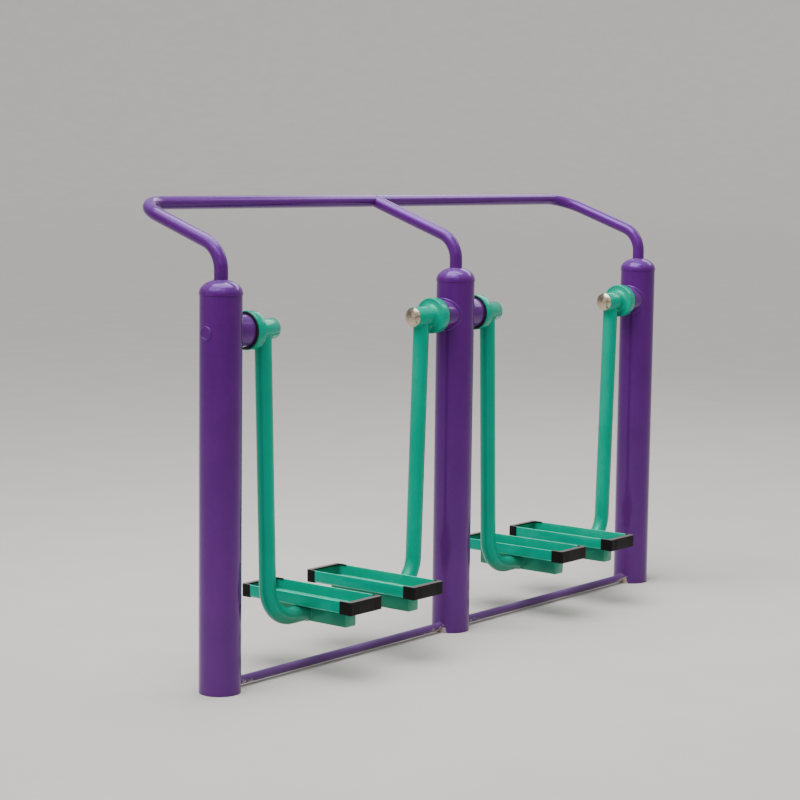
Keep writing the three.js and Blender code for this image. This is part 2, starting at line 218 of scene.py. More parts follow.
def node(tree, kind, inputs=(), stops=(), output=None, **fields):
    """Add a node, set its fields, inputs and ramp stops, and return the output that is named,
    or else the first that is shown."""
    made = tree.nodes.new("ShaderNode" + kind)
    for field, value in fields.items():
        setattr(made, field, value)
    feed(made, inputs)
    for index, (position, value) in enumerate(stops):
        element = made.color_ramp.elements[index]
        element.position = position
        element.color = value if isinstance(value, tuple) else (value, value, value, 1)
    shown = {socket.name: socket for socket in made.outputs if socket.enabled}
    return shown[output or next(iter(shown))]


def new_material(name):
    material = bpy.data.materials.new(name)
    material.use_nodes = True
    tree = material.node_tree
    return material, tree, tree.nodes["Principled BSDF"], node(tree, "TexCoord", output="Object")


print("a middle grey in linear light:", round(linear("#808080")[0], 3))

# %% [markdown]
# ### Gloss powder coat
# The frame and the arms are steel with a polyester powder coat. The powder melts into a thick
# glossy skin. Three things tell the eye so: a faint orange peel, a wave about two millimetres
# long that breaks up the reflections; a colour that varies a little over a hand's width; and a
# thin dust that dulls it in patches. One function makes both colours, so they age in the same
# way, and what is special to the frame or to the treads is added in a function of its own.

# %% Powder coat in two colours
def powder_coat(name, colour, deep, glint, ageing_and_painted_light):
    material, tree, shader, place = new_material(name)
    # The colour drifts over about 140 mm, the dust lies in patches of about 17 mm
    drift = node(tree, "TexNoise", {"Vector": place, "Scale": 7.0, "Detail": 3.0, "Roughness": 0.6})
    paint = node(tree, "ValToRGB", [drift], [(0.35, linear(colour)), (0.7, linear(deep))])
    patches = node(tree, "TexNoise", {"Vector": place, "Scale": 60.0, "Detail": 6.0, "Roughness": 0.7})
    pale_film = node(tree, "ValToRGB", [patches], [(0.5, 0.0), (0.8, 0.02)])
    paint = node(tree, "Mix", [pale_film, paint, linear("#8b8397")], data_type="RGBA")
    rough = node(tree, "ValToRGB", [patches], [(0.3, 0.07), (0.75, 0.22)])
    # Orange peel: waves of about 2 mm, a few hundredths of a millimetre deep
    peel = node(tree, "TexNoise", {"Vector": place, "Scale": 420.0, "Detail": 1.0, "Roughness": 0.4})
    skin = node(tree, "Bump", {"Height": peel, "Strength": 0.07, "Distance": 0.0004})
    # The ageing function adds wear and dirt, and also each coat's painted light
    paint, rough, skin = ageing_and_painted_light(tree, place, paint, rough, skin)
    feed(shader, {"Base Color": paint, "Roughness": rough, "Normal": skin})
    feed(shader, {"IOR": 1.5, "Specular IOR Level": 0.6, "Specular Tint": linear(glint)})
    return material


print("powder coat: peel of", round(1000 / 420, 1), "mm")

# %% [markdown]
# The frame gets a painted highlight, lighter where it faces the sky, and turns paler and
# browner towards the ground. A brown film lies on the tie bars. They are splashed with mud along
# their undersides, and the paint is chipped and muddy where they are welded to the posts. The
# posts stand 1.015 m apart, so a ping-pong of X gives the distance from the nearest one. A Map
# Range turns a height or a distance into a share, and another share in its upper end multiplies
# the two.

# %% How the frame ages, and its painted light
POST_SPACING, POST_RADIUS = 1.015, 0.057


def frame_ageing_and_painted_light(tree, place, paint, rough, skin):
    # Faces that look up get a painted sky highlight, and the paint turns a little paler and browner
    # from 0.9 m down to the ground
    facing = node(tree, "NewGeometry", output="Normal")
    upward = node(tree, "SeparateXYZ", [facing], output="Z")
    painted_sky_highlight = node(tree, "MapRange", [upward, 0.1, 0.9, 0.0, 0.17])
    paint = node(tree, "Mix", [painted_sky_highlight, paint, linear("#9a78d0")], data_type="RGBA")
    x, y, z = node(tree, "SeparateXYZ", [place]).node.outputs
    paler_low = node(tree, "MapRange", [z, 0.9, 0.0, 0.0, 0.05])
    paint = node(tree, "Mix", [paler_low, paint, linear("#a08a86")], data_type="RGBA")

    # What lies below 30 to 50 mm and outside the walls of the posts is a tie bar
    from_post = node(tree, "Math", [x, POST_SPACING / 2], operation="PINGPONG")
    past_post = node(tree, "MapRange", [from_post, POST_RADIUS + 0.0002, POST_RADIUS + 0.001])
    on_tie = node(tree, "MapRange", [z, 0.05, 0.03, 0.0, past_post])
    brown = node(tree, "Math", [on_tie, 0.3], operation="MULTIPLY")
    paint = node(tree, "Mix", [brown, paint, linear("#5c4a62")], data_type="RGBA")
    rough = node(tree, "Mix", [on_tie, rough, 0.45])

    # Splashes reach 75 mm up, in line with the bars and between the outer posts. They are
    # strongest within 60 mm of a post's axis and less than half as strong beyond 250 mm
    across = node(tree, "Math", [y], operation="ABSOLUTE")
    outward = node(tree, "Math", [x], operation="ABSOLUTE")
    splashed = node(tree, "MapRange", [z, 0.075, 0.01])
    splashed = node(tree, "MapRange", [across, 0.045, 0.02, 0.0, splashed])
    splashed = node(tree, "MapRange", [outward, 1.02, 1.01, 0.0, splashed])
    nearness = node(tree, "MapRange", [from_post, 0.25, 0.06, 0.45, 1.0])
    at_weld = node(tree, "Math", [splashed, nearness], operation="MULTIPLY")
    lowest = node(tree, "MapRange", [z, 0.0125, 0.0075, 0.0, 0.95])
    underside = node(tree, "Math", [on_tie, lowest], operation="MULTIPLY")

    # Bare chips of about 7 mm, then mud in blots of about 18 mm with a grainy edge
    flakes = node(tree, "TexNoise", {"Vector": place, "Scale": 150.0, "Detail": 4.0, "Roughness": 0.55})
    flakes = node(tree, "Math", [at_weld, flakes], operation="MULTIPLY")
    chips = node(tree, "ValToRGB", [flakes], [(0.46, 0.0), (0.48, 1.0)])
    paint = node(tree, "Mix", [chips, paint, linear("#b9b2c4")], data_type="RGBA")
    blots = node(tree, "TexNoise", {"Vector": place, "Scale": 55.0, "Detail": 9.0, "Roughness": 0.72})
    zone = node(tree, "Math", [at_weld, underside], operation="MAXIMUM")
    blots = node(tree, "Math", [zone, blots], operation="MULTIPLY")
    mud = node(tree, "ValToRGB", [blots], [(0.43, 0.0), (0.5, 1.0)])
    paint = node(tree, "Mix", [mud, paint, linear("#a99884")], data_type="RGBA")
    rough = node(tree, "Mix", [mud, rough, 0.85])
    crust = node(tree, "Bump", {"Height": mud, "Normal": skin, "Strength": 0.6, "Distance": 0.0008})
    return paint, rough, crust


purple_coat = powder_coat("purple_polyester_powder_coat", "#4f0f67", "#480d60", "#b898ff", frame_ageing_and_painted_light)
PURPLE = purple_coat, "purple_gloss_paint"
print("frame:", purple_coat.name)

# %% [markdown]
# The treads are the part that is used. Their rims, 222 mm above the ground, get a painted
# highlight, a light mint on their upper millimetre. Their floors, 190 mm above it, are paler:
# partly wear from shoes, partly a painted reflection of the sky. Fine scuffs run along the floor,
# with painted streaks of reflection; real ones are a hair wide and are drawn about three
# millimetres wide to show. Treads lie more than 0.3 m from the nearest post, which keeps these
# marks off the arms that pass the same heights. Below the treads the bars and the ends of the
# arms are darker and browner: partly dust, partly painted shade and ground reflection.

# %% How the swings age, and their painted light
TREAD_TOP, TREAD_DEPTH, SHEET = 0.222, 0.035, 0.0025
TREAD_FLOOR = TREAD_TOP - TREAD_DEPTH + SHEET


def swing_ageing_and_painted_light(tree, place, paint, rough, skin):
    x, _, z = node(tree, "SeparateXYZ", [place]).node.outputs
    from_post = node(tree, "Math", [x, POST_SPACING / 2], operation="PINGPONG")
    on_tread = node(tree, "MapRange", [from_post, 0.295, 0.3])
    # The rim highlight and the paler floor come in patches of about 40 mm
    patchiness = node(tree, "TexNoise", {"Vector": place, "Scale": 25.0, "Detail": 5.0, "Roughness": 0.6})

    # The rim's upper millimetre gets a painted highlight, a light mint in patches
    rim = node(tree, "MapRange", [z, TREAD_TOP - 0.0013, TREAD_TOP - 0.0005, 0.0, on_tread])
    rim = node(tree, "MapRange", [z, TREAD_TOP + 0.0015, TREAD_TOP + 0.001, 0.0, rim])
    painted_rim_highlight = node(tree, "ValToRGB", [patchiness], [(0.3, 0.5), (0.6, 1.0)])
    painted_rim_highlight = node(tree, "Math", [rim, painted_rim_highlight], operation="MULTIPLY")
    paint = node(tree, "Mix", [painted_rim_highlight, paint, linear("#5cf5d2")], data_type="RGBA")

    # Below the underside of the tread, at 187 mm, the paint turns darker and browner downwards: partly
    # dust, partly painted shade and ground reflection
    dust_and_painted_light = node(tree, "MapRange", [z, 0.184, 0.15, 0.1, 0.3])
    dust_and_painted_light = node(tree, "MapRange", [z, 0.19, 0.184, 0.0, dust_and_painted_light])
    paint = node(tree, "Mix", [dust_and_painted_light, paint, linear("#5e4c36")], data_type="RGBA")

    # The floor's upper face is paler: partly wear, partly a painted sky reflection; the scuffs, partly
    # painted streaks of reflection, are stretched twenty times along Y
    floor = node(tree, "MapRange", [z, TREAD_FLOOR + 0.003, TREAD_FLOOR + 0.001, 0.0, on_tread])
    floor = node(tree, "MapRange", [z, TREAD_FLOOR - 0.001, TREAD_FLOOR - 0.0003, 0.0, floor])
    walked_and_painted_sheen = node(tree, "ValToRGB", [patchiness], [(0.3, 0.3), (0.7, 0.55)])
    walked_and_painted_sheen = node(tree, "Math", [floor, walked_and_painted_sheen], operation="MULTIPLY")
    paint = node(tree, "Mix", [walked_and_painted_sheen, paint, linear("#4fe0c0")], data_type="RGBA")
    long_way = node(tree, "Mapping", {"Vector": place, "Scale": (1.0, 0.05, 1.0)})
    lines = node(tree, "TexNoise", {"Vector": long_way, "Scale": 300.0, "Detail": 2.0})
    scuffs_and_painted_streaks = node(tree, "ValToRGB", [lines], [(0.6, 0.0), (0.68, 0.35)])
    scuffs_and_painted_streaks = node(tree, "Math", [floor, scuffs_and_painted_streaks], operation="MULTIPLY")
    paint = node(tree, "Mix", [scuffs_and_painted_streaks, paint, linear("#b5f2e2")], data_type="RGBA")

    smoothed = node(tree, "Math", [painted_rim_highlight, walked_and_painted_sheen], operation="MAXIMUM")
    rough = node(tree, "Mix", [smoothed, rough, 0.22])
    return paint, rough, skin


green_coat = powder_coat("green_polyester_powder_coat", "#00937a", "#008a70", "#48ffc8", swing_ageing_and_painted_light)
GREEN = green_coat, "green_gloss_paint"
print("swings:", green_coat.name)

# %% [markdown]
# ### Steel, zinc, polypropylene and rubber
# Each of the other materials has one fine grain, left by the way it was made. It varies the
# colour, the roughness and the surface together, as a real grain does, so one function makes
# them all. Metals keep the default IOR. The moulded ends are also paler on their upper faces:
# partly dust, partly a painted reflection of the sky. This follows the piece's own normal, so it
# stays in place when the swing moves.

# %% The other materials
METAL = {"Metallic": 1.0}
# Share of the paler upper faces of the moulded ends: partly dust, partly painted sky reflection
PALE_TOP_SHARE = 0.3


def grained(name, colour, pale, scale, rough, depth, constants, dust_and_painted_light=False):
    material, tree, shader, place = new_material(name)
    grain = node(tree, "TexNoise", {"Vector": place, "Scale": scale, "Detail": 4.0, "Roughness": 0.6})
    tone = node(tree, "ValToRGB", [grain], [(0.3, linear(colour)), (0.75, linear(pale))])
    gloss = node(tree, "ValToRGB", [grain], [(0.3, rough[0]), (0.7, rough[1])])
    skin = node(tree, "Bump", {"Height": grain, "Strength": 0.3, "Distance": depth})
    # Upper faces turn paler: partly dust, partly a painted reflection of the sky
    if dust_and_painted_light:
        own_normal = node(tree, "TexCoord", output="Normal")
        upward = node(tree, "SeparateXYZ", [own_normal], output="Z")
        pale_film = node(tree, "MapRange", [upward, 0.5, 0.95, 0.0, PALE_TOP_SHARE])
        tone = node(tree, "Mix", [pale_film, tone, linear("#a9a4a6")], data_type="RGBA")
    feed(shader, {"Base Color": tone, "Roughness": gloss, "Normal": skin})
    feed(shader, constants)
    return material


# Pressed and polished stainless steel, hazed by rain in patches of about 6 mm. Its warm tan tint is a
# painted reflection of the ground
polished_stainless = grained(
    "polished_stainless_steel", "#a8977c", "#cdc3b2", 160.0, (0.1, 0.3), 0.0001, METAL
)
# Turned steel under grease: dull, with soft reflections. The marks of the lathe are finer than
# can be seen and are drawn about 3 mm wide
turned_steel = grained("turned_steel", "#86878a", "#a5a6a8", 300.0, (0.3, 0.5), 0.0001, METAL)
# Moulded polypropylene: nearly matte black. Its spark grain is about 0.1 mm in the mould and is
# drawn about 1 mm wide so that it shows
matte = {"IOR": 1.49, "Specular IOR Level": 0.14}
black_plastic = grained(
    "moulded_polypropylene", "#0b0a0a", "#141212", 900.0, (0.4, 0.55), 0.0002, matte, dust_and_painted_light=True
)
# Moulded nitrile rubber: bluish black with a broad soft gloss, its bloom in specks of 1.4 mm
soft = {"IOR": 1.52, "Specular IOR Level": 0.35}
black_rubber = grained("nitrile_rubber", "#070914", "#10131c", 700.0, (0.45, 0.65), 0.0002, soft)
# Zinc plate: bright grey in crystals of about 2.5 mm, each with its own gloss
zinc_plate = grained("zinc_plated_steel", "#8f9499", "#b4b8bb", 400.0, (0.25, 0.45), 0.0001, METAL)

STAINLESS = polished_stainless, "polished_steel"
STEEL = turned_steel, "plain_steel"
PLASTIC = black_plastic, "black_plastic"
RUBBER = black_rubber, "black_rubber"
ZINC = zinc_plate, "plain_steel"
print("materials:", len(bpy.data.materials))

# %% [markdown]
# ## Posts
# Each post is a plain 114 mm steel tube, cut square. A cylinder primitive would do; the turned
# profile adds the small chamfer at the foot, where the saw cut was ground off, and closing the
# piece plugs both ends.

# %% Posts
POST_HEIGHT = 1.063
SIDES = {"left": -POST_SPACING, "middle": 0.0, "right": POST_SPACING}


def at(x, y, z):
    return Vector((x, y, z))


def dress(piece, body, material, slot, *nodes):
    """Give a finished piece its material and body and hide the CAD nodes it stands for; slot is unused.
    """
    if not piece.data.materials:
        piece.data.materials.append(material)
    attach(piece, body)
    if nodes:
        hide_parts(*nodes)


foot = [(0.0, 0.0525), (0.0, 0.0564), (0.0006, POST_RADIUS)]
head = [(POST_HEIGHT, POST_RADIUS), (POST_HEIGHT, 0.053)]
for side, x in SIDES.items():
    turn_profile("post_tube_" + side, at(x, 0, 0), Z_AXIS, foot + head, sides=96)
    dress(close_piece(), "frame", *PURPLE, "post_" + side)
print("posts:", POST_HEIGHT, "m high")

# %% [markdown]
# ## Domed caps
# A pressed steel dome closes each post. Its rim stands a little proud of the tube, so a seam
# shows all round, and its crown meets the tube of the rail that goes through it. Half of an
# ellipse would look too pointed; a power just under 1 on sine and cosine makes it fuller.

# %% Domed caps
CROWN_RISE, DOME_RADIUS, DOME_RISE = 0.040, 0.0585, 0.0389
RIM_HEIGHT, FULLNESS = 0.0030, 0.95


def steps_of(first, last, step):
    """Angles in radians from a range in degrees."""
    return [math.radians(d) for d in range(first, last, step)]


dome = [(0.0002, 0.054), (0.0002, 0.0579), (0.0007, DOME_RADIUS), (RIM_HEIGHT, DOME_RADIUS)]
for a in steps_of(5, 70, 5):
    height = RIM_HEIGHT + DOME_RISE * math.sin(a) ** FULLNESS
    dome.append((height, DOME_RADIUS * math.cos(a) ** FULLNESS))
dome.append((CROWN_RISE, 0.0186))
for side, x in SIDES.items():
    turn_profile("dome_" + side, at(x, 0, POST_HEIGHT), Z_AXIS, dome, sides=96)
    dress(close_piece(50), "frame", *PURPLE, "post_cap_" + side)
print("domes: crown at", round(POST_HEIGHT + CROWN_RISE, 4))

# %% [markdown]
# ## Handrail and brace
# One length of 38 mm tube makes the whole rail: up from the left cap, forward over a knee,
# round a corner, along, and back down. A shorter piece braces its middle and is welded to the
# long bar. Its end stops on the bar's axis, inside it, so no fish mouth has to be cut.
# The CAD tube has flat sides and is widest at its corners; this round one stays just within.

# %% Handrail and brace
RAIL_RADIUS, KNEE_BEND, CORNER_BEND = 0.01887, 0.08, 0.09
RAIL_FOOT, KNEE, REACH, RAIL_TOP = 1.087, 1.184, 0.317, 1.296

rail = [
    at(-POST_SPACING, 0, RAIL_FOOT),
    at(-POST_SPACING, 0, KNEE),
    at(-POST_SPACING, REACH, RAIL_TOP),
    at(POST_SPACING, REACH, RAIL_TOP),
    at(POST_SPACING, 0, KNEE),
    at(POST_SPACING, 0, RAIL_FOOT),
]
bend_tube("rail_tube", RAIL_RADIUS, rail, [KNEE_BEND, CORNER_BEND, CORNER_BEND, KNEE_BEND])
dress(close_piece(), "frame", *PURPLE, "handrail")

brace = [at(0, 0, RAIL_FOOT), at(0, 0, KNEE), at(0, REACH, RAIL_TOP)]
bend_tube("brace_tube", RAIL_RADIUS, brace, [KNEE_BEND])
dress(close_piece(), "frame", *PURPLE, "rail_brace")
print("rail bar at", REACH, RAIL_TOP)

# %% [markdown]
# ## Tie bars
# Two thin round bars hold the feet apart, just above the ground. They are cut to length and
# welded to the posts, so their ends run a little into the tube walls. Their profile is only two
# stations, one at each end.

# %% Tie bars
TIE_RADIUS, TIE_HEIGHT, INTO_WALL = 0.012, 0.018, 0.002
first, last = POST_RADIUS - INTO_WALL, POST_SPACING - POST_RADIUS + INTO_WALL
bar = [(first, TIE_RADIUS), (last, TIE_RADIUS)]
for side, start in (("left", -POST_SPACING), ("right", 0.0)):
    turn_profile("tie_" + side, at(start, 0, TIE_HEIGHT), X_AXIS, bar, sides=32)
    dress(close_piece(), "frame", *PURPLE, "tie_bar_" + side)
print("tie bars:", round(last - first, 3), "m long")

# %% [markdown]
# ## Copies for the four hubs
# All four hubs and arms are alike. Each piece is modelled once on the left post, facing +X.
# The second and fourth are that piece turned half round, the third is only moved. Turning is
# safer than mirroring, which would turn the mesh inside out. Every copy gets its own mesh, with
# its place put into the mesh.

# %% Hub copies
HUB_HEIGHT = 0.965
HUB = at(-POST_SPACING, 0, HUB_HEIGHT)
MOVES = {2: (math.pi, -POST_SPACING), 3: (0, POST_SPACING), 4: (math.pi, 0.0)}


def turned_copy(piece, name, turn, shift):
    """Copy a piece, turn it about Z and move it along X."""
    select_only(piece)
    bpy.ops.object.duplicate()
    copy = bpy.context.object
    copy.name = copy.data.name = name
    copy.rotation_euler.z = turn
    copy.location.x = shift
    bpy.ops.object.transform_apply()
    return copy


def four_hubs(piece, stem, node_stem, body_stem, material, slot):
    """Copy the piece to the other hubs and dress all four. Each swing is a body of its own."""
    pieces = {1: piece}
    for number, (turn, shift) in MOVES.items():
        pieces[number] = turned_copy(piece, f"{stem}_{number}", turn, shift)
    piece.name = piece.data.name = f"{stem}_1"
    for number, each in pieces.items():
        body = body_stem if body_stem == "frame" else f"{body_stem}{number}"
        nodes = [f"{node_stem}_{number}"] if node_stem else []
        dress(each, body, material, slot, *nodes)


print("hubs at", HUB_HEIGHT)

# %% [markdown]
# ## Hub housing and dust seal
# A short 89 mm tube stands out from the post around the axle. Its mouth is closed by a black
# rubber seal that shows as a thin dark line between the purple and the green. Both are turned
# as a closed wall: the profile goes out on the outside and comes back on the inside.

# %% Hub housing and dust seal
housing = [(0.03, 0.0445), (0.0884, 0.0445), (0.089, 0.0439), (0.089, 0.0405)]
housing += [(0.03, 0.0405), (0.03, 0.0445)]
turn_profile("housing", HUB, X_AXIS, housing)
four_hubs(close_piece(), "housing", "hub_housing", "frame", *PURPLE)

seal = [(0.0892, 0.0195), (0.0892, 0.0500), (0.0896, 0.0507), (0.0910, 0.0510)]
seal += [(0.0924, 0.0507), (0.0928, 0.0500), (0.0928, 0.0195), (0.0892, 0.0195)]
turn_profile("seal", HUB, X_AXIS, seal)
four_hubs(close_piece(), "seal", "dust_seal", "frame", *RUBBER)
print("seal:", round((seal[-2][0] - seal[0][0]) * 1000, 1), "mm thick")

# %% [markdown]
# ## Flange and sleeve
# The part that turns is a thick flange with a smaller sleeve. The flange edge is rounded, its
# face is relieved by a shallow step, and a weld fillet runs round the foot of the sleeve. All
# are round about the hub, so one profile holds them, with short steps where the metal curves.

# %% Flange and sleeve
flange = [(0.0933, 0.026), (0.0933, 0.0505), (0.0936, 0.0517), (0.0945, 0.0526), (0.0957, 0.0530)]
face = [(0.1205, 0.0530), (0.1218, 0.0527), (0.1228, 0.0518)]
face += [(0.1232, 0.0505), (0.1232, 0.0478), (0.1225, 0.0470)]
fillet = [(0.1225, 0.0375), (0.1240, 0.0352), (0.1264, 0.0322), (0.1296, 0.0300), (0.1325, 0.0291)]
SLEEVE_RADIUS = 0.029
sleeve = [(0.134, SLEEVE_RADIUS), (0.2018, SLEEVE_RADIUS)]
sleeve += [(0.2030, 0.0283), (0.2030, 0.026), (0.0933, 0.026)]
turn_profile("sleeve", HUB, X_AXIS, flange + face + fillet + sleeve)
four_hubs(close_piece(40), "sleeve", "hub_sleeve", "swing_", *GREEN)
print("sleeve profile:", len(flange + face + fillet + sleeve), "stations")

# %% [markdown]
# ## Polished caps
# A pressed dome of stainless steel snaps into the end of each sleeve. It is a shallow part of a
# ball of 50 mm radius, so it mirrors the floor in its lower half, the horizon in the middle and
# the lights above. The profile follows the ball from its edge to the crown.

# %% Polished caps
BALL, EDGE_ANGLE, SEAT = 0.05, 0.594, 0.2035
bright_cap = [(0.198, 0.0256), (0.2031, 0.0256), (0.2031, 0.0278), (SEAT, 0.0280)]
for a in reversed(steps_of(1, 34, 3)):
    bright_cap.append((SEAT + BALL * (math.cos(a) - math.cos(EDGE_ANGLE)), BALL * math.sin(a)))
bright_cap.append((0.212, 0.0003))
turn_profile("bright_cap", HUB, X_AXIS, bright_cap)
four_hubs(close_piece(50), "bright_cap", "hub_cap", "swing_", *STAINLESS)
print("caps: edge at", round(math.degrees(EDGE_ANGLE)), "degrees of the ball")

# %% [markdown]
# ## Axles
# The outer axles go right through their posts and are welded and painted over on the far side,
# where they show as a faint disc with a ring of weld. The end faces get the paint and the rest
# stays turned steel: two materials on one mesh, chosen for each face by its place.

# %% Outer axles
disc = [(-0.0576, 0.0004), (-0.0575, 0.0060), (-0.0571, 0.0120), (-0.0570, 0.0138)]
ring = [(-0.0579, 0.0146), (-0.0586, 0.0158), (-0.0587, 0.0168), (-0.0583, 0.0180)]
ring += [(-0.0573, 0.0189), (-0.0560, 0.0193), (-0.0530, 0.0194)]
shaft = [(0.0928, 0.019), (0.0928, 0.016), (0.0966, 0.016), (0.0966, 0.0125), (0.178, 0.0125)]
shaft += [(0.178, 0.010), (0.196, 0.010), (0.197, 0.009), (0.197, 0.0002)]
turn_profile("axle", HUB, X_AXIS, disc + ring + shaft, sides=48)
axle = close_piece()
axle.data.materials.append(turned_steel)
axle.data.materials.append(purple_coat)
PAINTED_END = HUB.x - 0.03
for polygon in axle.data.polygons:
    polygon.material_index = int(polygon.center.x < PAINTED_END)
right_axle = turned_copy(axle, "axle_shaft_right", *MOVES[4])
dress(right_axle, "frame", *STEEL, "axle_right")
axle.name = axle.data.name = "axle_shaft_left"
dress(axle, "frame", *STEEL, "axle_left")
print("painted faces:", sum(polygon.material_index for polygon in axle.data.polygons))

# %% [markdown]
# ## Swing arms
# A 47 mm tube hangs from the sleeve, leans away from the post and is bent under the tread. Its
# top is hidden in the sleeve's weld and its end butts on the side of the square foot bar. The
# lean is 27 mm between the hub's axis and the lower run, and the tube starts 20 mm below that
# axis. It is made as the rail is, with one bend.

# %% Swing arms
ARM_RADIUS, LEG_HEIGHT, ARM_BEND = 0.0235, 0.1622, 0.095
ARM_OFFSET, ARM_LEAN, ARM_END, BELOW_AXIS = 0.163, 0.027, 0.3457, 0.02
top = ARM_OFFSET + ARM_LEAN * BELOW_AXIS / (HUB_HEIGHT - LEG_HEIGHT)
lowest = at(ARM_OFFSET + ARM_LEAN, 0, LEG_HEIGHT)
arm = [at(top, 0, HUB_HEIGHT - BELOW_AXIS), lowest, at(ARM_END, 0, LEG_HEIGHT)]
bend_tube("arm_tube", ARM_RADIUS, [p - X_AXIS * POST_SPACING for p in arm], [ARM_BEND])
four_hubs(close_piece(), "arm_tube", "swing_arm", "swing_", *GREEN)
print("arms: top at", round(top * 1000, 1), "mm from the post's axis")

# %% [markdown]
# ## Foot bars
# A length of square tube with closed ends carries the tread. A cube is bevelled along its four
# long edges to the outer radius of drawn tube, then lightly round its ends. The long edges come
# first, so that the second bevel runs smoothly round the corners.

# %% Foot bars
TREAD_X = -POST_SPACING + 0.3685
BAR_WIDTH, BAR_LENGTH, BAR_HEIGHT = 0.045, 0.290, 0.049
select_only()
bpy.ops.mesh.primitive_cube_add(size=1, location=(TREAD_X, 0, LEG_HEIGHT))
bpy.context.object.scale = (BAR_WIDTH, BAR_LENGTH, BAR_HEIGHT)
open_piece("foot_bar_tube")
pick("EDGE", lambda middle, way: abs(way.y) > 0.9)
bpy.ops.mesh.bevel(offset=0.005, segments=4, affect="EDGES")
pick("EDGE", lambda middle, way: abs(abs(middle.y) - BAR_LENGTH / 2) < HAIR)
bpy.ops.mesh.bevel(offset=0.0012, segments=2, affect="EDGES")
four_hubs(close_piece(), "foot_bar_tube", "foot_bar", "swing_", *GREEN)
print("foot bars:", BAR_LENGTH, "m long")

# %% [markdown]
# ## Treads
# The tread is a tray: one sheet folded up on all four sides and welded at its corners, so that
# a shoe can't slide off. A flat sheet could be folded here too, but a box already has the folds.
# It loses its top face, its upright corners and its lower edges get the radius of the press
# brake, a Solidify modifier gives the sheet its thickness, and the cut rim is eased.

# %% Treads
SHEET_HALF, SHEET_END = 0.0668, 0.1973
select_only()
bpy.ops.mesh.primitive_cube_add(size=1, location=(TREAD_X, 0, TREAD_TOP - TREAD_DEPTH / 2))
bpy.context.object.scale = (2 * SHEET_HALF, 2 * SHEET_END, TREAD_DEPTH)
open_piece("tread_tray")
pick("FACE", lambda middle, normal: normal.z > 0.9)
bpy.ops.mesh.delete(type="FACE")
pick("EDGE", lambda middle, way: abs(way.z) > 0.9)
bpy.ops.mesh.bevel(offset=0.0035, segments=4, affect="EDGES")
pick("EDGE", lambda middle, way: middle.z < TREAD_TOP - TREAD_DEPTH + HAIR)
bpy.ops.mesh.bevel(offset=0.006, segments=5, affect="EDGES")
tread = close_piece(plugged=False)
modify(tread, "SOLIDIFY", thickness=SHEET, offset=-1)
bpy.ops.object.mode_set(mode="EDIT")
pick("FACE", lambda middle, normal: normal.z > 0.9 and middle.z > TREAD_TOP - HAIR)
bpy.ops.mesh.region_to_loop()
bpy.ops.mesh.bevel(offset=0.0007, segments=2, affect="EDGES")
tread = close_piece()
print("tread box:", [round(v, 4) for v in tread.dimensions])
four_hubs(tread, "tread_tray", "tread", "swing_", *GREEN)

# %% [markdown]
# ## Tread end caps
# A moulded cap closes each end: an end wall with a lip over the rim, then cheeks, a sole and
# two arms over the long rims, hooked down their inner side. One cheek is 41 mm long, the other
# 31 mm. Upright flutes give grip where the cap is knocked on.
# A Boolean could cut the slot for the tray, but it leaves long thin triangles. So a block gets
# its round corners first, and bisect cuts it into strips along the lines of the slot.

# %% The end block in strips
CAP_HALF, CAP_LOW, CAP_HIGH = 0.0678, 0.1858, 0.2232
CAP_END, LIP = 0.2025, 0.1855
select_only()
middle_of_block = (TREAD_X, (CAP_END + LIP) / 2, (CAP_LOW + CAP_HIGH) / 2)
bpy.ops.mesh.primitive_cube_add(size=1, location=middle_of_block)
bpy.context.object.scale = (2 * CAP_HALF, CAP_END - LIP, CAP_HIGH - CAP_LOW)
open_piece("end_cap")
pick("EDGE", lambda middle, way: abs(way.z) > 0.9 and middle.y > CAP_END - HAIR)
bpy.ops.mesh.bevel(offset=0.006, segments=6, affect="EDGES")
for height, radius in ((CAP_HIGH, 0.0026), (CAP_LOW, 0.0015)):
    pick("EDGE", lambda middle, way: abs(middle.z - height) < HAIR and middle.y > LIP + HAIR)
    bpy.ops.mesh.bevel(offset=radius, segments=4, affect="EDGES")


def cut(place, normal):
    bpy.ops.mesh.select_all(action="SELECT")
    bpy.ops.mesh.bisect(plane_co=place, plane_no=normal)


# The slot is 0.2 mm wider than the sheet on each side, and the hook is 2 mm thick
PLAY, HOOK_THICK = 0.0002, 0.002
INNER, OVER = SHEET_HALF + PLAY, SHEET_HALF - SHEET - PLAY
HOOK = OVER - HOOK_THICK
SOLE, HOOK_LOW, ROOF = CAP_LOW + 0.001, TREAD_TOP - 0.003, TREAD_TOP + PLAY
for aside in (-INNER, INNER, -OVER, OVER, -HOOK, HOOK):
    cut(at(TREAD_X + aside, 0, 0), X_AXIS)
for height in (SOLE, HOOK_LOW, ROOF):
    cut(at(0, 0, height), Z_AXIS)
print("side slots:", round((INNER - OVER) * 1000, 1), "mm wide")

# %% [markdown]
# On the back of the block, the strips outside the sheet are extruded to the cheeks, the sole
# and the arms, and the long cheek grows out of the short one. The strips inside the sheet are
# pressed in twice: to the inside of the tray's end wall, and on to its outside. From there the
# slot is pressed up to the lip. That doubles the walls between the slots, so these are deleted.

# %% Cheeks, hooks and the slot for the tray
SHORT_CHEEK, LONG_CHEEK = 0.1715, 0.1615
END_WALL = SHEET_END - SHEET - PLAY


def outside_sheet(middle, normal):
    aside = abs(middle.x - TREAD_X)
    over_rim = aside > OVER and middle.z > ROOF
    hooked = HOOK < aside < OVER and middle.z > HOOK_LOW
    return normal.y < -0.9 and (aside > INNER or over_rim or hooked or middle.z < SOLE)


